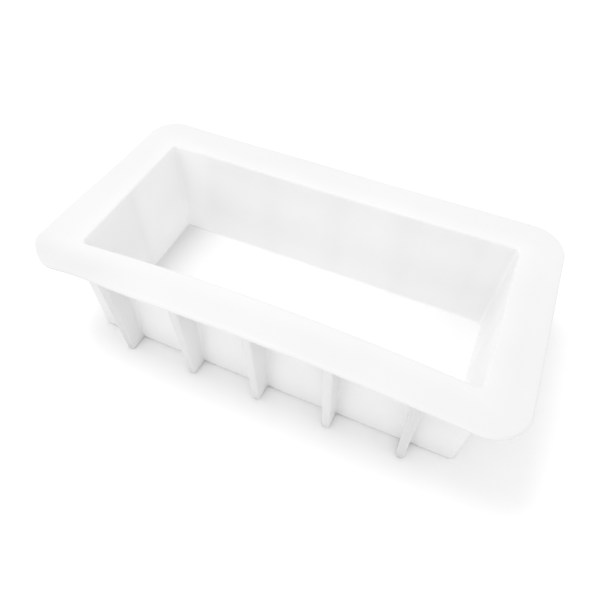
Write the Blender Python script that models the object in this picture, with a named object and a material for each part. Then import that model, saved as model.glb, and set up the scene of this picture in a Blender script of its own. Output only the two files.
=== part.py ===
"""Silicone soap mould: an open loaf tray with a wide flat rim and upright stiffening ribs.

Frame: metres, +Z up, +X along the long side. The origin is the centre of the
underside, so the tray stands on z = 0.

The tray is laid out as its functional features. A flat floor, four walls that
can flex outward, four stiff corner posts between them, a rim of eight
segments and twelve ribs. The long walls bow slightly inward at mid-length.
"""
import math

import bmesh
import bpy
from mathutils import Matrix, Vector

MM = 0.001

# Overall size
RIM_HALF_X = 132.3 * MM        # rim outer edge, half length
RIM_HALF_Y = 71.0 * MM         # rim outer edge, half width
HEIGHT = 70.0 * MM             # top of the rim
RIM_THICK = 3.0 * MM
RIM_CORNER_R = 19.0 * MM       # rounded outer corners of the rim

# Cavity, which tapers so that the cast bar comes out
CAVITY_TOP_X = 108.9 * MM
CAVITY_TOP_Y = 47.3 * MM
CAVITY_FLOOR_X = 106.6 * MM
CAVITY_FLOOR_Y = 43.9 * MM
FLOOR_THICK = 5.0 * MM

# Outer wall faces, at the table and just under the rim
OUTER_FOOT_X = 113.2 * MM
OUTER_FOOT_Y = 50.4 * MM
OUTER_TOP_X = 115.0 * MM
OUTER_TOP_Y = 52.2 * MM
OUTER_CORNER_R = 4.0 * MM

# Inward bow of the long walls at mid-length, full at the rim, none at the floor
BOW_FRONT = 4.4 * MM
BOW_BACK = 1.0 * MM

# Stiffening ribs
RIB_PITCH = 43.0 * MM
RIBS_PER_SIDE = 5
RIB_THICK = 5.4 * MM
RIB_FOOT_OUT = 10.8 * MM       # how far a rib's toe stands out from the wall foot
RIB_TOP_OUT = 13.4 * MM        # and from the unbowed wall face, under the rim
END_RIB_FOOT_OUT = 10.3 * MM   # the same for the two end ribs
END_RIB_TOP_OUT = 14.2 * MM

# Flexing panels end here, and the stiff corners begin
PANEL_HALF_X = 106.0 * MM
PANEL_HALF_Y = 43.0 * MM

GAP = 0.3 * MM                 # between neighbouring solids
WALL_TOP = HEIGHT - RIM_THICK
BOW_STEPS = 14
ARC_STEPS = 6

# How far each wall panel flexes outward, about the line of its ribs' toes
FRONT_HINGE_Y = -(OUTER_FOOT_Y + RIB_FOOT_OUT)
END_HINGE_X = OUTER_FOOT_X + END_RIB_FOOT_OUT


def clear_scene():
    for obj in list(bpy.data.objects):
        bpy.data.objects.remove(obj, do_unlink=True)


def make_material(name, colour, roughness):
    mat = bpy.data.materials.new(name)
    mat.use_nodes = True
    shader = mat.node_tree.nodes["Principled BSDF"]
    shader.inputs["Base Color"].default_value = (*colour, 1.0)
    shader.inputs["Roughness"].default_value = roughness
    shader.inputs["Metallic"].default_value = 0.0
    return mat


def lerp(a, b, t):
    return a + (b - a) * t


def height_share(z):
    """0 at the cavity floor and below it, 1 at the top of the rim."""
    return max(0.0, (z - FLOOR_THICK) / (HEIGHT - FLOOR_THICK))


def bow(x, side, span, z):
    """Inward shift of a long side at x; span is the half length that bows."""
    depth = BOW_FRONT if side < 0 else BOW_BACK
    t = min(1.0, abs(x) / span)
    return depth * (1.0 - t * t) * height_share(z)


def inner_x(z):
    return lerp(CAVITY_FLOOR_X, CAVITY_TOP_X, height_share(z))


def inner_y(z):
    return lerp(CAVITY_FLOOR_Y, CAVITY_TOP_Y, height_share(z))


def outer_x(z):
    return lerp(OUTER_FOOT_X, OUTER_TOP_X, z / WALL_TOP)


def outer_y(z):
    return lerp(OUTER_FOOT_Y, OUTER_TOP_Y, z / WALL_TOP)


def wall_face_y(x, z, side, outer):
    """y of a long wall's face, bow included."""
    half = outer_y(z) if outer else inner_y(z)
    return side * (half - bow(x, side, CAVITY_TOP_X, z))


def rim_edge_y(x, side, outer):
    if outer:
        return side * (RIM_HALF_Y - bow(x, side, RIM_HALF_X, HEIGHT))
    return side * (CAVITY_TOP_Y - bow(x, side, CAVITY_TOP_X, HEIGHT))


def arc(cx, cy, radius, start, end, steps):
    """Points on an arc, angles in degrees."""
    points = []
    for i in range(steps + 1):
        a = math.radians(lerp(start, end, i / steps))
        points.append((cx + radius * math.cos(a), cy + radius * math.sin(a)))
    return points


def loft(name, rings, heights, material):
    """Closed solid through outlines of equal length, one outline per height."""
    bm = bmesh.new()
    loops = []
    for ring, z in zip(rings, heights):
        loops.append([bm.verts.new((x, y, z)) for x, y in ring])
    count = len(loops[0])
    for low, high in zip(loops, loops[1:]):
        for i in range(count):
            j = (i + 1) % count
            bm.faces.new((low[i], low[j], high[j], high[i]))
    bm.faces.new(loops[0][::-1])
    bm.faces.new(loops[-1])
    return finish(name, bm, material)


def finish(name, bm, material, smooth_angle=30.0):
    bmesh.ops.recalc_face_normals(bm, faces=bm.faces[:])
    mesh = bpy.data.meshes.new(name)
    bm.to_mesh(mesh)
    bm.free()
    mesh.materials.append(material)
    mesh.shade_smooth()
    mesh.set_sharp_from_angle(angle=math.radians(smooth_angle))
    obj = bpy.data.objects.new(name, mesh)
    bpy.context.scene.collection.objects.link(obj)
    return obj


def hinge_empty(name, location):
    empty = bpy.data.objects.new(name, None)
    empty.empty_display_size = 0.02
    empty.location = location
    bpy.context.scene.collection.objects.link(empty)
    return empty


def hang_on(obj, empty):
    """Parent a panel to its hinge line without moving it."""
    obj.data.transform(Matrix.Translation(-empty.location))
    obj.parent = empty


# ---------------------------------------------------------------- floor

def floor_panel(material):
    hx, hy = CAVITY_FLOOR_X - GAP, CAVITY_FLOOR_Y - GAP
    outline = [(hx, hy), (-hx, hy), (-hx, -hy), (hx, -hy)]
    return loft("floor_panel", [outline, outline], [0.0, FLOOR_THICK], material)


# ---------------------------------------------------------------- walls

def long_wall(name, side, material):
    hx = PANEL_HALF_X - GAP / 2
    xs = [lerp(-hx, hx, i / BOW_STEPS) for i in range(BOW_STEPS + 1)]
    heights = [0.0, FLOOR_THICK, lerp(FLOOR_THICK, WALL_TOP, 0.5), WALL_TOP - GAP]
    rings = []
    for z in heights:
        inner = [(x, wall_face_y(x, z, side, False)) for x in xs]
        outer = [(x, wall_face_y(x, z, side, True)) for x in reversed(xs)]
        rings.append(inner + outer)
    return loft(name, rings, heights, material)


def end_wall(name, side, material):
    hy = PANEL_HALF_Y - GAP / 2
    heights = [0.0, FLOOR_THICK, WALL_TOP - GAP]
    rings = []
    for z in heights:
        xi, xo = side * inner_x(z), side * outer_x(z)
        rings.append([(xi, -hy), (xo, -hy), (xo, hy), (xi, hy)])
    return loft(name, rings, heights, material)


def corner_outline(sx, sy, xi, yi_fn, xo, yo_fn, ro, steps):
    """Outline round one corner: square inside, rounded outside."""
    x0, y0 = PANEL_HALF_X + GAP / 2, PANEL_HALF_Y + GAP / 2
    inner = [(x0, abs(yi_fn(sx * x0))), (xi, abs(yi_fn(sx * xi))), (xi, y0)]
    yo_c = abs(yo_fn(sx * (xo - ro)))
    outer = [(xo, y0)]
    outer += arc(xo - ro, yo_c - ro, ro, 0, 90, steps)
    outer.append((x0, abs(yo_fn(sx * x0))))
    return [(sx * x, sy * y) for x, y in inner + outer]


def corner_post(name, sx, sy, material):
    heights = [0.0, FLOOR_THICK, WALL_TOP - GAP]
    rings = []
    for z in heights:
        rings.append(corner_outline(
            sx, sy,
            inner_x(z), lambda x, z=z: wall_face_y(x, z, sy, False),
            outer_x(z), lambda x, z=z: wall_face_y(x, z, sy, True),
            OUTER_CORNER_R, ARC_STEPS))
    return loft(name, rings, heights, material)


# ---------------------------------------------------------------- rim

def long_rim(name, side, material):
    hx = PANEL_HALF_X - GAP / 2
    xs = [lerp(-hx, hx, i / BOW_STEPS) for i in range(BOW_STEPS + 1)]
    ring = [(x, rim_edge_y(x, side, False)) for x in xs]
    ring += [(x, rim_edge_y(x, side, True)) for x in reversed(xs)]
    return loft(name, [ring, ring], [WALL_TOP, HEIGHT], material)


def end_rim(name, side, material):
    hy = PANEL_HALF_Y - GAP / 2
    xi, xo = side * CAVITY_TOP_X, side * RIM_HALF_X
    ring = [(xi, -hy), (xo, -hy), (xo, hy), (xi, hy)]
    return loft(name, [ring, ring], [WALL_TOP, HEIGHT], material)


def rim_corner(name, sx, sy, material):
    ring = corner_outline(
        sx, sy,
        CAVITY_TOP_X, lambda x: rim_edge_y(x, sy, False),
        RIM_HALF_X, lambda x: rim_edge_y(x, sy, True),
        RIM_CORNER_R, 2 * ARC_STEPS)
    return loft(name, [ring, ring], [WALL_TOP, HEIGHT], material)


# ---------------------------------------------------------------- ribs

def rib_ring(root, tip):
    """Plan outline of a rib along +u from root to tip, with a rounded tip."""
    r = RIB_THICK / 2
    ring = [(root, -r)] + arc(tip - r, 0.0, r, -90, 90, 6) + [(root, r)]
    return ring


def long_side_rib(name, x0, side, material):
    heights = [0.0, FLOOR_THICK, lerp(FLOOR_THICK, WALL_TOP, 0.5), WALL_TOP - GAP]
    rings = []
    for z in heights:
        # the nearest wall face across the rib's thickness
        face = max(abs(wall_face_y(x, z, side, True))
                   for x in (x0 - RIB_THICK / 2, x0, x0 + RIB_THICK / 2))
        # the tips stand in one straight line, whatever the wall's bow
        tip = outer_y(z) + lerp(RIB_FOOT_OUT, RIB_TOP_OUT, z / WALL_TOP)
        ring = rib_ring(face + GAP, tip)
        rings.append([(x0 - side * v, side * u) for u, v in ring])
    return loft(name, rings, heights, material)


def end_rib(name, side, material):
    heights = [0.0, WALL_TOP - GAP]
    rings = []
    for z in heights:
        face = outer_x(z)
        out = lerp(END_RIB_FOOT_OUT, END_RIB_TOP_OUT, z / WALL_TOP)
        ring = rib_ring(face + GAP, face + out)
        rings.append([(side * u, side * v) for u, v in ring])
    return loft(name, rings, heights, material)


def main():
    clear_scene()
    white = (0.86, 0.86, 0.85)

    def silicone(name):
        return make_material("silicone_" + name, white, 0.42)

    floor_panel(silicone("floor_panel"))

    for fb, sy in (("front", -1), ("back", 1)):
        for lr, sx in (("left", -1), ("right", 1)):
            post = f"{fb}_{lr}_corner_post"
            corner_post(post, sx, sy, silicone(post))
            corner = f"rim_{fb}_{lr}_corner"
            rim_corner(corner, sx, sy, silicone(corner))

    for fb, sy in (("front", -1), ("back", 1)):
        hinge = hinge_empty(f"{fb}_side_hinge", Vector((0, sy * abs(FRONT_HINGE_Y), 0)))
        pieces = [long_wall(f"{fb}_wall", sy, silicone(f"{fb}_wall")),
                  long_rim(f"rim_{fb}", sy, silicone(f"rim_{fb}"))]
        for i in range(RIBS_PER_SIDE):
            x0 = (i - (RIBS_PER_SIDE - 1) / 2) * RIB_PITCH
            rib = f"{fb}_rib_{i + 1}"
            pieces.append(long_side_rib(rib, x0, sy, silicone(rib)))
        for piece in pieces:
            hang_on(piece, hinge)

    for lr, sx in (("left", -1), ("right", 1)):
        hinge = hinge_empty(f"{lr}_end_hinge", Vector((sx * END_HINGE_X, 0, 0)))
        pieces = [end_wall(f"{lr}_end_wall", sx, silicone(f"{lr}_end_wall")),
                  end_rim(f"rim_{lr}_end", sx, silicone(f"rim_{lr}_end")),
                  end_rib(f"{lr}_end_rib", sx, silicone(f"{lr}_end_rib"))]
        for piece in pieces:
            hang_on(piece, hinge)


main()
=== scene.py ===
import math

import bmesh
import bpy
import numpy as np
from mathutils import Matrix, Vector


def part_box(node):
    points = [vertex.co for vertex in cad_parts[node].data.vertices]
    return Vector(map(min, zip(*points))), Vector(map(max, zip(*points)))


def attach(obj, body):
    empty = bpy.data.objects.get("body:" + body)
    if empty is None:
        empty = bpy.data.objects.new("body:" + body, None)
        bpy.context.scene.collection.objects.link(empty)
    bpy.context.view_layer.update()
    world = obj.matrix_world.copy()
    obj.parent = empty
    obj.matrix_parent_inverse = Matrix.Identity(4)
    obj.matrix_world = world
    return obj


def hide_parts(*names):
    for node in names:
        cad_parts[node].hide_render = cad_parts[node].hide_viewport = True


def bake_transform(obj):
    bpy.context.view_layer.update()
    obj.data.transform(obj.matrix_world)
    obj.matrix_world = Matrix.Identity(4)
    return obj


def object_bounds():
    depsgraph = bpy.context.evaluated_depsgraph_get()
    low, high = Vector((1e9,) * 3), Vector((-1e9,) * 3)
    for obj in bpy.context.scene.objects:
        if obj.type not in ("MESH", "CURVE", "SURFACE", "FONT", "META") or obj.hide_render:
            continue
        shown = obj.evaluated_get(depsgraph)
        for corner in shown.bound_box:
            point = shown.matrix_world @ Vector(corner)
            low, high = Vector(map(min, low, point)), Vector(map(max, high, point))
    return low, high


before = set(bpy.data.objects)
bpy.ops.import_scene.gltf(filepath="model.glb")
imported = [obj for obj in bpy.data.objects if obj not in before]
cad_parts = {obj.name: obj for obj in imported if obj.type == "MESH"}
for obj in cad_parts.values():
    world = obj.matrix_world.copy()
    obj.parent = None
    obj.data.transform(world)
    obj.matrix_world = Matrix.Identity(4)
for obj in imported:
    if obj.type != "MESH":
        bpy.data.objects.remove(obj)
CAD_LO, CAD_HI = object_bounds()

# ------------------------------------------------------------------ measures
# Read from the frame's boxes where a box gives them, in metres.
MM = 0.001
HEIGHT = CAD_HI.z
RIM_X = CAD_HI.x
RIM_Y = 71.0 * MM
WALL_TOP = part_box("rim_front")[0].z
CAV_TOP_X = -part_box("rim_left_end")[1].x
CAV_TOP_Y = 47.3 * MM
CAV_FLOOR_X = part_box("floor_panel")[1].x + 0.3 * MM
CAV_FLOOR_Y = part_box("floor_panel")[1].y + 0.3 * MM
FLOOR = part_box("floor_panel")[1].z
FOOT_X = 113.2 * MM
FOOT_Y = 50.4 * MM
OUT_TOP_X = 115.0 * MM
OUT_TOP_Y = 52.2 * MM
RIM_R = 19.0 * MM
OUT_R = 4.0 * MM
CAV_R = 2.6 * MM
FILLET = 1.2 * MM                  # cavity floor to wall
EDGE_IN = 1.1 * MM                 # rim's rounded inner edge
EDGE_TOP = 1.0 * MM                # rim's rounded outer edge, above
EDGE_LOW = 0.6 * MM                # and below
FOOT_EDGE = 0.6 * MM
BOW = {-1: CAV_TOP_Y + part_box("rim_front")[1].y, 1: CAV_TOP_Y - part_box("rim_back")[0].y}
RIB_X = [(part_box(f"front_rib_{i}")[0].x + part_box(f"front_rib_{i}")[1].x) / 2 for i in range(1, 6)]
RIB_OUT = (10.8 * MM, 13.4 * MM)
END_RIB_OUT = (10.3 * MM, 14.2 * MM)
# soft ribs never stand quite true: offset at the foot and extra lean at the top
RIB_SET = {(-1, 1): (0.0, 0.0), (-1, 2): (-0.3, 0.2), (-1, 3): (-1.1, -0.6), (-1, 4): (-1.0, -0.7), (-1, 5): (-0.7, -0.7),
           (1, 1): (0.4, 0.2), (1, 2): (0.5, -0.3), (1, 3): (0.0, 0.3), (1, 4): (0.4, 0.3), (1, 5): (-0.2, -0.3)}
SLOPE = CAV_TOP_Y / CAV_TOP_X      # the diagonal on which neighbouring sectors meet


def share(z):
    return max(0.0, (z - FLOOR) / (HEIGHT - FLOOR))


def mix(a, b, t):
    return a + (b - a) * t


def inner_x(z): return mix(CAV_FLOOR_X, CAV_TOP_X, share(z))
def inner_y(z): return mix(CAV_FLOOR_Y, CAV_TOP_Y, share(z))
def outer_x(z): return mix(FOOT_X, OUT_TOP_X, z / WALL_TOP)
def outer_y(z): return mix(FOOT_Y, OUT_TOP_Y, z / WALL_TOP)


def bow(x, side, amount, span):
    t = min(1.0, abs(x) / span)
    return BOW[side] * amount * (1 - t * t)


def smooth(a, b, v):
    t = max(0.0, min(1.0, (v - a) / (b - a)))
    return t * t * (3 - 2 * t)


def bell(v, centre, width):
    return math.exp(-((v - centre) / width) ** 2)


def relax(x, y, z):
    """The slack in the free flange: it sags a little and its edge isn't ruler straight."""
    w = max(smooth(OUT_TOP_X, RIM_X, abs(x)), smooth(OUT_TOP_Y, RIM_Y - BOW[-1], abs(y))) * smooth(60 * MM, WALL_TOP, z)
    if w == 0.0:
        return x, y, z
    mm = 1000.0
    dz = -0.20 * MM * w * (1.0 + 0.6 * math.sin(x * mm / 31.0 + 0.8) * math.cos(y * mm / 23.0))
    left = smooth(OUT_TOP_X, RIM_X, -x) * w
    front = smooth(OUT_TOP_Y, RIM_Y - BOW[-1], -y) * w
    dx = MM * left * (1.0 - 3.2 * smooth(40 * MM, -50 * MM, y) * (1 - smooth(-53 * MM, -68 * MM, y)))
    dy = front * (0.45 * MM + 1.7 * MM * bell(x, -101 * MM, 21 * MM)) - 0.25 * MM * w * (1 + math.sin(x * mm / 19.0)) * smooth(0.0, OUT_TOP_Y, y)
    return x + dx, y + dy, z + dz


# ------------------------------------------------------------------ tone: the rubber's lightness, mostly painted light and shade: painted shadows, shaded feet, corners and flange edges, and painted light standing for light through the thin walls
# painted shadow: a soft dark band at each given line, where a rib stands behind the wall
def rib_shade(v, lines, depth, width):
    return depth * max(bell(v, c, width) for c in lines)


def outer_tone(x, z, front):
    """The outside of a wall, with painted light and shade: duller close to the table, beside a front rib and towards
    the ends, a touch lighter low on the left of a rib, and a painted contact shadow along the foot.
    """
    # painted shade: a little duller close to the table
    t = TONE["outer"] - 0.02 * (1 - smooth(0.0, 22 * MM, z))
    if not front:
        # painted contact shadow along the foot of a back or end wall
        return t - 0.12 * (1 - smooth(0.0, 1.2 * MM, z))
    # painted shade on the left of each front rib, stronger up high
    high = smooth(10 * MM, 58 * MM, z)
    t -= 0.035 * high * max(bell(x, c - 8 * MM, 5 * MM) for c in RIB_X[:4])
    # painted shade towards both ends of the front wall
    ends = 0.105 * smooth(-88 * MM, -97 * MM, x) + 0.055 * smooth(86 * MM, 100 * MM, x)
    t -= ends * (0.4 + 0.6 * high) * (1 - smooth(outer_x(z) - 4 * MM, outer_x(z) - 0.8 * MM, abs(x)))
    # painted contact shadow along the foot, deepest and tallest just right of each rib
    past = min((x - c for c in RIB_X if x > c), default=30 * MM)
    near = math.exp(-max(0.0, past - 3 * MM) / (5 * MM))
    # and weaker on the left of each rib, where the wall low down is painted a touch lighter
    ahead = min((c - x for c in RIB_X if c > x), default=30 * MM)
    calm = smooth(19 * MM, 7 * MM, ahead)
    t += 0.030 * calm * smooth(24 * MM, 3 * MM, z)
    return t - (0.10 * (1 - calm) + 0.20 * near) * (1 - smooth(0.0, (1.0 + 1.5 * near) * MM, z))


def floor_tone(x, y):
    # painted shadow of the left end wall on the floor, darkest close to that wall
    return TONE["floor"] - 0.095 * smooth(-70 * MM, -95 * MM, x) - 0.065 * smooth(-93 * MM, -104 * MM, x)


def rim_tone(t, x, y):
    """The flange, with painted light and shade: a touch duller at its front left corner and lighter at the back."""
    t += 0.022 * smooth(0.0, 55 * MM, y) * smooth(-40 * MM, 60 * MM, x)
    t -= 0.034 * smooth(-50 * MM, -100 * MM, x) * smooth(-48 * MM, -62 * MM, y)
    return t - 0.010 * smooth(-114 * MM, -130 * MM, x) * smooth(-36 * MM, -58 * MM, y)


def foot_shadow_line(x, y, half, sx, sy):
    """Depth of the painted shadow line where an inner wall meets the floor, deeper along the left end wall and the far
    wall's left end.
    """
    if half == "end":
        return 0.04 + (0.08 * smooth(-CAV_FLOOR_Y, -25 * MM, y) if sx < 0 else 0.0)
    return 0.08 * smooth(-35 * MM, -CAV_FLOOR_X, x) + 0.04 if sy > 0 else 0.04


def wall_tone(x, y, z, inside, half, sx, sy):
    if not inside:
        return outer_tone(x, z, sy < 0 and half == "long")
    # inner faces: painted light and shade all over, on top of the inner tone
    t = TONE["inner"]
    # painted light low on the wall, painted shade near the top
    t += 0.064 * smooth(40 * MM, 4 * MM, z) - 0.010 * smooth(50 * MM, 69 * MM, z)
    # painted shade in the upright inner corners
    d = math.hypot(inner_x(z) - abs(x), inner_y(z) - abs(y))
    t -= 0.012 * bell(d, 0.0, 3.2 * MM)
    low = smooth(44 * MM, 8 * MM, z)
    high = smooth(34 * MM, 66 * MM, z)
    if sx < 0:
        # painted light and shade: the far left corner is lighter below and duller above
        near = smooth(-68 * MM, -CAV_FLOOR_X, x) * smooth(4 * MM, CAV_FLOOR_Y, y)
        t += near * (0.078 * low + 0.030 * smooth(16 * MM, 40 * MM, z) * (1 - high))
    if half == "long":
        lines = [c + 3.0 * MM for c in RIB_X] if sy > 0 else RIB_X
        fade = smooth(CAV_TOP_X, CAV_TOP_X - 12 * MM, abs(x))
        # painted light towards the ends of a long wall, less of it high up on its left
        t += 0.030 * smooth(72 * MM, CAV_TOP_X, abs(x)) * (1 - 0.6 * high * fade * smooth(0.0, -60 * MM, x))
        # painted shadow bands where the ribs stand behind the wall
        t -= rib_shade(x, lines, 0.019, 7 * MM) * fade
        if sy > 0:
            # painted shade high on the far wall's left half
            t -= 0.047 * high * smooth(-96 * MM, -60 * MM, x)
    else:
        fade = smooth(CAV_TOP_Y, CAV_TOP_Y - 10 * MM, abs(y))
        # painted light over the end wall, and a painted shadow band where the end rib stands behind it
        t += 0.030 - 0.024 * bell(y, 0.0, 5 * MM) * fade
        if sx < 0:
            # painted shadow of the end rib over the front half of the left end wall, with a touch more light on the
            # rest
            t += 0.012 * fade - 0.038 * smooth(1 * MM, -3 * MM, y) * smooth(-48 * MM, -8 * MM, y) * fade
        else:
            # painted shade over the far half of the right end wall, only up high close to the far corner
            t -= 0.047 * smooth(4 * MM, 44 * MM, y) * mix(high, 1.0, fade)
    return t


# base tones, partly painted light and shade: the floor and inner walls lighter and the flange, outer walls and rib tips
# duller, standing for light through the thin rubber and how the lamps fall; rim_edge_highlight is a painted highlight,
# rim_side_shade and rim_low_shade painted shade
TONE = {"floor": 0.955, "inner": 0.90, "outer": 0.82, "rim_in": 0.757, "rim": 0.735, "rim_edge_highlight": 0.79, "rim_side_shade": 0.71, "rim_low_shade": 0.62, "rib": 0.85, "rib_tip_shade": 0.72}
# painted shade on the front ribs, duller on some ribs than others; each pair is for the tip, then the side
RIB_PAINTED_SHADE = {(-1, 1): (-0.105, -0.02), (-1, 2): (-0.05, -0.01), (-1, 3): (-0.02, -0.01), (-1, 4): (-0.01, -0.01), (-1, 5): (-0.085, -0.03)}


# ------------------------------------------------------------------ the skin as rows of nested rounded rectangles
class Row:
    """kind says how tone is read: "flat" as it stands, "outer" ignores it, and "floor" and "edge" give
    the share of the floor's or the rim's tone mixed into the wall's own."""

    def __init__(self, hx, hy, r, z, amount=None, span=CAV_TOP_X, diag=False, scale=1.0, tone=0.9, kind="flat"):
        self.hx, self.hy, self.r, self.z, self.tone, self.kind = hx, hy, r, z, tone, kind
        self.amount = share(z) if amount is None else amount
        self.span, self.diag, self.scale = span, diag, scale

    def corner(self, side):
        """Arc centre, its first angle on the long side and the seam angle."""
        xa = self.hx - self.r
        slope = 0.0
        if self.amount and xa < self.span:
            slope = 2 * BOW[side] * self.amount * xa / self.span ** 2
        d = math.atan(slope)
        xs = xa - self.r * math.sin(d)
        cy = self.hy - bow(xs, side, self.amount, self.span) - self.r * math.cos(d)
        first = math.pi / 2 + d
        seam = math.pi / 4
        if self.diag:
            q = (SLOPE * xa - cy) / (self.r * math.hypot(1, SLOPE))
            seam = math.asin(max(-1, min(1, q))) + math.atan(SLOPE)
        return xs, xa, cy, first, seam

    def long_half(self, side, n=30, m=16):
        """Points of the long side, from mid-length to the seam."""
        xs, cx, cy, first, seam = self.corner(side)
        pts = []
        for i in range(n):
            x = xs * i / n
            pts.append((x, self.hy - bow(x, side, self.amount, self.span)))
        for i in range(m + 1):
            a = mix(first, seam, i / m)
            pts.append((cx + self.r * math.cos(a), cy + self.r * math.sin(a)))
        return [(x * self.scale, y * self.scale, self.z) for x, y in pts]

    def end_half(self, side, n=16, m=10):
        """Points of the end, from the seam to its middle."""
        xs, cx, cy, first, seam = self.corner(side)
        pts = []
        for i in range(m):
            a = mix(seam, 0.0, i / m)
            pts.append((cx + self.r * math.cos(a), cy + self.r * math.sin(a)))
        for i in range(n + 1):
            pts.append((self.hx, cy * (1 - i / n)))
        return [(x * self.scale, y * self.scale, self.z) for x, y in pts]


def floor_rows():
    hx, hy, r = CAV_FLOOR_X - FILLET, CAV_FLOOR_Y - FILLET, CAV_R - FILLET
    scales = [0.1, 0.22, 0.34, 0.46, 0.58, 0.7, 0.8, 0.87, 0.92, 0.96, 0.985, 1.0]
    top = [Row(hx, hy, r, FLOOR, 0.0, scale=s, tone=TONE["floor"]) for s in scales]
    low = [Row(hx, hy, r, 0.0, 0.0, scale=s, tone=TONE["outer"]) for s in reversed(scales)]
    return top, low


def wall_inner_rows():
    rows = []
    for i in range(8):
        a = math.pi / 2 * i / 7
        z = FLOOR + FILLET * (1 - math.cos(a))
        inset = FILLET * (1 - math.sin(a))
        rows.append(Row(inner_x(z) - inset, inner_y(z) - inset, CAV_R - inset, z, share(z) * (i / 7), tone=1.0 - smooth(0.45, 0.8, i / 7), kind="floor"))
    z0 = FLOOR + FILLET
    for i in range(1, 13):
        z = mix(z0, HEIGHT - EDGE_IN, i / 12)
        rows.append(Row(inner_x(z), inner_y(z), CAV_R, z, tone=0.0, kind="edge"))
    return rows


def wall_outer_rows():
    rows = []
    for z in [WALL_TOP, 62 * MM, 54 * MM, 45 * MM, 36 * MM, 27 * MM, 18 * MM, 9 * MM, 5 * MM, 3 * MM, 1.8 * MM, 1.1 * MM]:
        rows.append(Row(outer_x(z), outer_y(z), OUT_R, z, diag=True, kind="outer"))
    for i in range(6):
        a = math.pi / 2 * i / 5
        z = FOOT_EDGE * (1 - math.sin(a))
        inset = FOOT_EDGE * (1 - math.cos(a))
        rows.append(Row(outer_x(z) - inset, outer_y(z) - inset, OUT_R - inset, z, 0.0, diag=True, kind="outer"))
    rows.append(Row(CAV_FLOOR_X - FILLET, CAV_FLOOR_Y - FILLET, CAV_R - FILLET, 0.0, 0.0, kind="outer"))
    return rows


def rim_rows():
    """From the cavity's top edge over the flange, round its outer edge and back under it."""
    rows = []
    z0 = HEIGHT - EDGE_IN
    for i in range(7):
        a = math.pi / 2 * i / 6
        out = EDGE_IN * (1 - math.cos(a))
        z = z0 + EDGE_IN * math.sin(a)
        rows.append(Row(inner_x(z0) + out, inner_y(z0) + out, CAV_R + out, z, tone=smooth(0.0, 0.6, i / 6), kind="edge"))
    a_x, a_y, a_r = inner_x(z0) + EDGE_IN, inner_y(z0) + EDGE_IN, CAV_R + EDGE_IN
    b_x, b_y, b_r = RIM_X - EDGE_TOP, RIM_Y - EDGE_TOP, RIM_R - EDGE_TOP
    for i in range(1, 9):
        t = i / 8
        rows.append(Row(mix(a_x, b_x, t), mix(a_y, b_y, t), mix(a_r, b_r, t), HEIGHT, 1.0, mix(CAV_TOP_X, RIM_X, t), diag=True,
                        tone=mix(TONE["rim_in"], TONE["rim"], smooth(0.0, 0.55, t))))
    # round the flange's top edge into a painted highlight
    for i in range(1, 6):
        a = math.pi / 2 * i / 5
        o = EDGE_TOP * (1 - math.sin(a))
        rows.append(Row(RIM_X - o, RIM_Y - o, RIM_R - o, HEIGHT - EDGE_TOP + EDGE_TOP * math.cos(a), 1.0, RIM_X, diag=True,
                        tone=mix(TONE["rim"], TONE["rim_edge_highlight"], smooth(0.3, 1.0, i / 5))))
    # painted shade down the flange's side and back in under its edge
    for i in range(5):
        a = math.pi / 2 * i / 4
        o = EDGE_LOW * (1 - math.cos(a))
        rows.append(Row(RIM_X - o, RIM_Y - o, RIM_R - o, WALL_TOP + EDGE_LOW * (1 - math.sin(a)), 1.0, RIM_X, diag=True,
                        tone=mix(TONE["rim_side_shade"], TONE["rim_low_shade"], i / 4)))
    c_x, c_y, c_r = RIM_X - EDGE_LOW, RIM_Y - EDGE_LOW, RIM_R - EDGE_LOW
    for i in (1, 2, 3, 4, 5):
        t = i / 6
        rows.append(Row(mix(c_x, OUT_TOP_X, t), mix(c_y, OUT_TOP_Y, t), mix(c_r, OUT_R, t), WALL_TOP, mix(1.0, share(WALL_TOP), t), mix(RIM_X, CAV_TOP_X, t), diag=True,
                        tone=mix(TONE["rim_low_shade"], TONE["rim"], smooth(0.0, 0.5, t))))
    rows.append(Row(OUT_TOP_X, OUT_TOP_Y, OUT_R, WALL_TOP, diag=True, tone=TONE["rim"]))
    return rows


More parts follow.
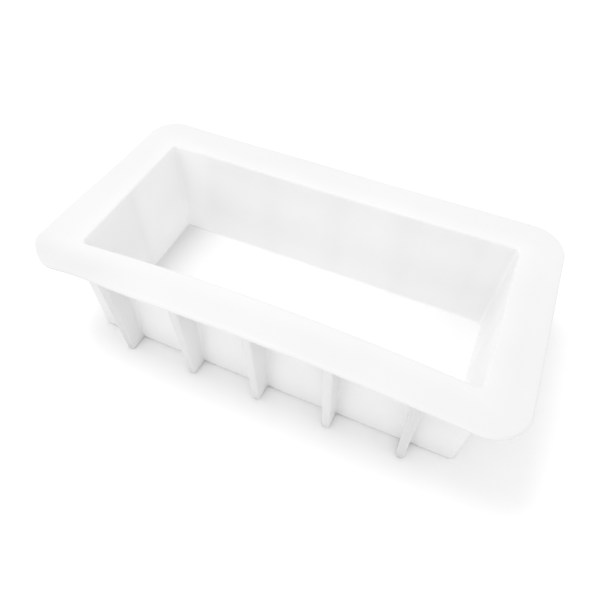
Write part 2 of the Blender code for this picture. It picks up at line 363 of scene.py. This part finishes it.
def strip(name, rows, half, sx, sy, closed, centre=False):
    """A closed solid: rows swept over one sector, with a cap at each cut."""
    grid = [r.long_half(sy) if half == "long" else r.end_half(sy) for r in rows]
    cols = len(grid[0])
    bm = bmesh.new()
    vs, tones = [], []
    for row, line in zip(rows, grid):
        made = []
        for x, y, z in line:
            x, y = sx * x, sy * y
            wall = wall_tone(x, y, z, row.kind != "outer", half, sx, sy)
            if row.kind == "floor":
                # painted shadow line where an inner wall meets the floor
                foot_shadow_depth = foot_shadow_line(x, y, half, sx, sy) * 4 * row.tone * (1 - row.tone)
                tones.append(mix(wall, floor_tone(x, y), row.tone) - foot_shadow_depth)
            elif row.kind == "edge":
                tones.append(mix(wall, rim_tone(TONE["rim_in"], x, y), row.tone))
            elif row.kind == "outer":
                tones.append(wall)
            elif z < FLOOR + 0.1 * MM:
                tones.append(floor_tone(x, y) if z > 0.1 * MM else row.tone)
            else:
                tones.append(rim_tone(row.tone, x, y))
            made.append(bm.verts.new(relax(x, y, z)))
        vs.append(made)
    pairs = list(zip(range(len(vs)), range(1, len(vs))))
    if closed:
        pairs.append((len(vs) - 1, 0))
    for i, j in pairs:
        for k in range(cols - 1):
            bm.faces.new((vs[i][k], vs[i][k + 1], vs[j][k + 1], vs[j][k]))
    first = [line[0] for line in vs]
    last = [line[-1] for line in vs]
    if centre:
        top = bm.verts.new((0, 0, rows[0].z))
        low = bm.verts.new((0, 0, rows[-1].z))
        tones += [rows[0].tone, rows[-1].tone]
        for k in range(cols - 1):
            bm.faces.new((top, vs[0][k + 1], vs[0][k]))
            bm.faces.new((low, vs[-1][k], vs[-1][k + 1]))
        first = [top] + first + [low]
        last = [top] + last + [low]
    caps = [bm.faces.new(first), bm.faces.new(last)]
    return to_object(name, bm, caps, tones=tones)


def to_object(name, bm, caps=(), sharp=38.0, tones=None):
    """Mesh object, smooth but for its hard edges and its end caps."""
    bmesh.ops.recalc_face_normals(bm, faces=bm.faces[:])
    for f in bm.faces:
        f.smooth = True
    for e in bm.edges:
        if len(e.link_faces) == 2 and e.calc_face_angle(0.0) > math.radians(sharp):
            e.smooth = False
    for f in caps:
        f.smooth = False
        for e in f.edges:
            e.smooth = False
    mesh = bpy.data.meshes.new(name)
    bm.to_mesh(mesh)
    bm.free()
    if tones:
        mesh.attributes.new("tone", "FLOAT", "POINT").data.foreach_set("value", tones)
    obj = bpy.data.objects.new(name, mesh)
    bpy.context.scene.collection.objects.link(obj)
    return obj


# ------------------------------------------------------------------ ribs
def rib(name, face, top_reach, place, wall_at, shade_offsets=(0.0, 0.0)):
    """An upright rib. face(v, z) is the wall's distance at offset v across the rib, place(u, v, z) puts a point in the frame."""
    low, high = 1.3 * MM, 2.0 * MM
    levels = []
    for i in range(5):
        a = math.pi / 2 * i / 4
        levels.append((low * (1 - math.cos(a)), -low * (1 - math.sin(a))))
    for i in range(1, 11):
        levels.append((mix(low, WALL_TOP - high, i / 10), 0.0))
    for i in range(1, 6):
        a = math.pi / 2 * i / 5
        levels.append((WALL_TOP - high + high * math.sin(a), high * (1 - math.cos(a))))
    levels.append((WALL_TOP + 0.5 * MM, high))
    bm = bmesh.new()
    loops, tones = [], []
    for z, grow in levels:
        t = z / WALL_TOP
        f = mix(0.6, 3.0, smooth(0.0, 0.75, t)) * MM
        root_h = mix(2.65, 2.55, t) * MM + grow
        tip_h = mix(2.3, 2.6, t) * MM + grow * 0.5
        round_r = min(1.35 * MM, tip_h * 0.9)
        # painted contact shadow at the rib's foot
        dull = -0.24 * (1 - smooth(0.0, 1.8 * MM, z))
        tip = top_reach(z) + min(grow, 0.25 * MM)
        half = []
        v0 = root_h + f
        half.append((face(v0, z) - 0.8 * MM, v0))
        share_in = [0.0]
        for i in range(7):
            a = math.pi / 2 * i / 6
            v = root_h + f - f * math.sin(a)
            half.append((face(v0, z) - 0.02 * MM + f * (1 - math.cos(a)), v))
            share_in.append(smooth(0.0, 0.9, i / 6))
        # painted shade: the rib's own offsets and the foot's painted contact shadow on its side and tip
        side = TONE["rib"] + shade_offsets[1] + dull
        front = TONE["rib_tip_shade"] + shade_offsets[0] + dull * 0.5
        u0 = half[-1][0]
        for i in (1, 2, 3, 4):
            half.append((mix(u0, tip - round_r, i / 5), mix(root_h, tip_h, i / 5)))
            share_in.append(1.0)
        right = [mix(wall_at(v0, z), side, k) for k in share_in]
        left = [mix(wall_at(-v0, z), side, k) for k in share_in]
        turn = []
        for i in range(7):
            a = math.pi / 2 * (1 - i / 6)
            half.append((tip - round_r + round_r * math.cos(a), tip_h - round_r + round_r * math.sin(a)))
            turn.append(mix(side, front, smooth(0.0, 0.9, i / 6)))
        for k in (0.5, 0.0):
            half.append((tip, (tip_h - round_r) * k))
            turn.append(front)
        shade = right + turn + turn[:-1][::-1] + left[::-1]
        other = [(u, -v) for u, v in reversed(half[:-1])]
        # the far side of the root follows the wall there
        fixed = []
        for u, v in other:
            fixed.append((u + (face(v, z) - face(-v, z)) * (1.0 if abs(v) > root_h else 0.0), v))
        loops.append([bm.verts.new(place(u, v, z)) for u, v in half + fixed])
        tones += shade
    count = len(loops[0])
    for a, b in zip(loops, loops[1:]):
        for i in range(count):
            j = (i + 1) % count
            bm.faces.new((a[i], a[j], b[j], b[i]))
    caps = [bm.faces.new(loops[0]), bm.faces.new(loops[-1])]
    return to_object(name, bm, caps, tones=tones)


def long_rib(name, index, side, foot, lean):
    x0 = RIB_X[index - 1]

    def at(z):
        return x0 + (foot + lean * z / WALL_TOP) * MM

    def face(v, z):
        return outer_y(z) - bow(at(z) + v, side, share(z), CAV_TOP_X)

    def reach(z):
        return outer_y(z) + mix(*RIB_OUT, z / WALL_TOP)

    return rib(name, face, reach, lambda u, v, z: (at(z) + v, side * u, z), lambda v, z: outer_tone(x0 + v, z, side < 0),
               RIB_PAINTED_SHADE.get((side, index), (0.0, 0.0)))


def end_rib(name, side):
    return rib(name, lambda v, z: outer_x(z), lambda z: outer_x(z) + mix(*END_RIB_OUT, z / WALL_TOP),
               lambda u, v, z: (side * u, v, z), lambda v, z: outer_tone(0.0, z, False))


# ------------------------------------------------------------------ material
def silicone(name, rough=0.40, wavy=0.12):
    """Satin white rubber, translucent in life but drawn opaque: its lightness rides on the mesh's tone, which holds
    painted light and shade.
    """
    mat = bpy.data.materials.new(name)
    mat.use_nodes = True
    nt = mat.node_tree
    n, link = nt.nodes, nt.links.new
    shader = n["Principled BSDF"]
    shader.location = (600, 0)
    tc = n.new("ShaderNodeTexCoord")
    tone = n.new("ShaderNodeAttribute")
    tone.attribute_name = "tone"
    # soft cloudiness of the cast rubber
    cloud = n.new("ShaderNodeTexNoise")
    cloud.inputs["Scale"].default_value = 26.0
    cloud.inputs["Detail"].default_value = 3.0
    cloud.inputs["Roughness"].default_value = 0.55
    link(tc.outputs["Object"], cloud.inputs["Vector"])
    ramp = n.new("ShaderNodeValToRGB")
    ramp.color_ramp.elements[0].position = 0.30
    ramp.color_ramp.elements[1].position = 0.72
    ramp.color_ramp.elements[0].color = (0.978, 0.979, 0.976, 1)
    ramp.color_ramp.elements[1].color = (1.0, 1.0, 1.0, 1)
    link(cloud.outputs["Fac"], ramp.inputs["Fac"])
    base = n.new("ShaderNodeMix")
    base.data_type = "RGBA"
    base.blend_type = "MULTIPLY"
    base.inputs["Factor"].default_value = 1.0
    link(tone.outputs["Fac"], base.inputs["A"])
    link(ramp.outputs["Color"], base.inputs["B"])
    # dust and tiny flecks caught on the surface
    fleck = n.new("ShaderNodeTexNoise")
    fleck.inputs["Scale"].default_value = 900.0
    fleck.inputs["Detail"].default_value = 1.0
    link(tc.outputs["Object"], fleck.inputs["Vector"])
    fr = n.new("ShaderNodeMapRange")
    fr.inputs["From Min"].default_value = 0.66
    fr.inputs["From Max"].default_value = 0.80
    fr.inputs["To Min"].default_value = 0.0
    fr.inputs["To Max"].default_value = 0.05
    link(fleck.outputs["Fac"], fr.inputs["Value"])
    dark = n.new("ShaderNodeMix")
    dark.data_type = "RGBA"
    dark.blend_type = "MULTIPLY"
    dark.inputs["B"].default_value = (0.80, 0.80, 0.80, 1)
    link(fr.outputs["Result"], dark.inputs["Factor"])
    link(base.outputs["Result"], dark.inputs["A"])
    link(dark.outputs["Result"], shader.inputs["Base Color"])
    # roughness: satin with smoother patches
    rn = n.new("ShaderNodeTexNoise")
    rn.inputs["Scale"].default_value = 60.0
    rn.inputs["Detail"].default_value = 4.0
    link(tc.outputs["Object"], rn.inputs["Vector"])
    rr = n.new("ShaderNodeMapRange")
    rr.inputs["From Min"].default_value = 0.3
    rr.inputs["From Max"].default_value = 0.7
    rr.inputs["To Min"].default_value = rough - 0.05
    rr.inputs["To Max"].default_value = rough + 0.06
    link(rn.outputs["Fac"], rr.inputs["Value"])
    link(rr.outputs["Result"], shader.inputs["Roughness"])
    # bump: slow waviness of soft rubber and a very fine matt tooth
    wave = n.new("ShaderNodeTexNoise")
    wave.inputs["Scale"].default_value = 38.0
    wave.inputs["Detail"].default_value = 1.5
    link(tc.outputs["Object"], wave.inputs["Vector"])
    tooth = n.new("ShaderNodeTexNoise")
    tooth.inputs["Scale"].default_value = 1600.0
    tooth.inputs["Detail"].default_value = 2.0
    link(tc.outputs["Object"], tooth.inputs["Vector"])
    b1 = n.new("ShaderNodeBump")
    b1.inputs["Strength"].default_value = wavy
    b1.inputs["Distance"].default_value = 0.0012
    link(wave.outputs["Fac"], b1.inputs["Height"])
    b2 = n.new("ShaderNodeBump")
    b2.inputs["Strength"].default_value = 0.10
    b2.inputs["Distance"].default_value = 0.00012
    link(tooth.outputs["Fac"], b2.inputs["Height"])
    link(b1.outputs["Normal"], b2.inputs["Normal"])
    link(b2.outputs["Normal"], shader.inputs["Normal"])
    shader.inputs["IOR"].default_value = 1.41
    shader.inputs["Metallic"].default_value = 0.0
    return mat


MATS = {
    "silicone_floor": silicone("mat_silicone_floor", 0.44, 0.10),
    "silicone_walls": silicone("mat_silicone_walls", 0.40, 0.12),
    "silicone_rim": silicone("mat_silicone_rim", 0.38, 0.12),
    "silicone_ribs": silicone("mat_silicone_ribs", 0.42, 0.10),
}


def dress(obj, slot):
    obj.data.materials.clear()
    obj.data.materials.append(MATS[slot])


def sector_blend(obj):
    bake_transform(obj)


SIDE = {-1: "front", 1: "back"}
HAND = {-1: "left", 1: "right"}
for sy in (-1, 1):
    for sx in (-1, 1):
        for half in ("long", "end"):
            a, b = (SIDE[sy], HAND[sx]) if half == "long" else (HAND[sx], SIDE[sy])
            top, low = floor_rows()
            floor = strip(f"floor_{a}_{b}", top + low, half, sx, sy, False, centre=True)
            wall = strip(f"wall_{a}_{b}", wall_inner_rows() + wall_outer_rows(), half, sx, sy, True)
            rim = strip(f"rim_{a}_{b}", rim_rows(), half, sx, sy, True)
            dress(floor, "silicone_floor")
            dress(wall, "silicone_walls")
            dress(rim, "silicone_rim")
            post = f"{SIDE[sy]}_{HAND[sx]}_corner_post"
            corner = f"rim_{SIDE[sy]}_{HAND[sx]}_corner"
            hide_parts("floor_panel")
            if half == "long":
                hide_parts(f"{SIDE[sy]}_wall", post)
                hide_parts(f"rim_{SIDE[sy]}", corner)
            else:
                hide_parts(f"{HAND[sx]}_end_wall", post)
                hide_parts(f"rim_{HAND[sx]}_end", corner)
            for piece in (floor, wall, rim):
                sector_blend(piece)

for sy in (-1, 1):
    for i, x0 in enumerate(RIB_X):
        piece = long_rib(f"{SIDE[sy]}_rib_{i + 1}_skin", i + 1, sy, *RIB_SET[sy, i + 1])
        dress(piece, "silicone_ribs")
        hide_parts(f"{SIDE[sy]}_rib_{i + 1}")
        if abs(x0) < 1 * MM:
            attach(piece, f"{SIDE[sy]}_side")
        else:
            sector_blend(piece)
for sx in (-1, 1):
    piece = end_rib(f"{HAND[sx]}_end_rib_skin", sx)
    dress(piece, "silicone_ribs")
    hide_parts(f"{HAND[sx]}_end_rib")
    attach(piece, f"{HAND[sx]}_end")

# ------------------------------------------------------------------ stage, light, camera
bm = bmesh.new()
size = 3.0
verts = [bm.verts.new((x, y, 0.0)) for x, y in ((-size, -size), (size, -size), (size, size), (-size, size))]
bm.faces.new(verts)
ground = to_object("studio_floor", bm)
ground.location.z = -0.0002
gm = bpy.data.materials.new("mat_studio_floor")
gm.use_nodes = True
gs = gm.node_tree.nodes["Principled BSDF"]
gs.inputs["Base Color"].default_value = (0.945, 0.945, 0.945, 1)
gs.inputs["Roughness"].default_value = 0.9
gs.inputs["Specular IOR Level"].default_value = 0.1
ground.data.materials.append(gm)

scene = bpy.context.scene
world = bpy.data.worlds.new("studio")
scene.world = world
world.use_nodes = True
bg = world.node_tree.nodes["Background"]
bg.inputs["Color"].default_value = (1, 1, 1, 1)
bg.inputs["Strength"].default_value = 1.01


def area(name, at, to, size, power):
    light = bpy.data.lights.new(name, "AREA")
    light.shape = "RECTANGLE"
    light.size, light.size_y = size
    light.energy = power
    obj = bpy.data.objects.new(name, light)
    obj.location = at
    obj.rotation_euler = (Vector(to) - Vector(at)).to_track_quat("-Z", "Y").to_euler()
    scene.collection.objects.link(obj)
    return obj


area("key_softbox", (-0.27, -0.02, 1.0), (0, 0, 0.03), (0.34, 0.34), 2.4)
fill = area("front_fill", (-0.35, -1.3, 0.5), (0, 0, 0.03), (0.6, 0.4), 1.9)
fill.visible_glossy = False  # its reflection would white out the flange from behind

scene.view_settings.view_transform = "Standard"
scene.view_settings.look = "None"

cam_data = bpy.data.cameras.new("camera")
cam_data.sensor_width = 36.0
cam_data.lens = 33.615
cam_data.clip_start = 0.01
cam = bpy.data.objects.new("camera", cam_data)
scene.collection.objects.link(cam)
az, el, roll = math.radians(22.177), math.radians(51.50), math.radians(1.887)
fwd = Vector((-math.sin(az) * math.cos(el), math.cos(az) * math.cos(el), -math.sin(el)))
right = Vector((math.cos(az), math.sin(az), 0.0))
up = right.cross(fwd)
right2 = right * math.cos(roll) + up * math.sin(roll)
up2 = -right * math.sin(roll) + up * math.cos(roll)
m = Matrix((right2, up2, -fwd)).transposed().to_4x4()
m.translation = Vector((0.07975, -0.19645, 0.28934))
cam.matrix_world = m
scene.camera = cam
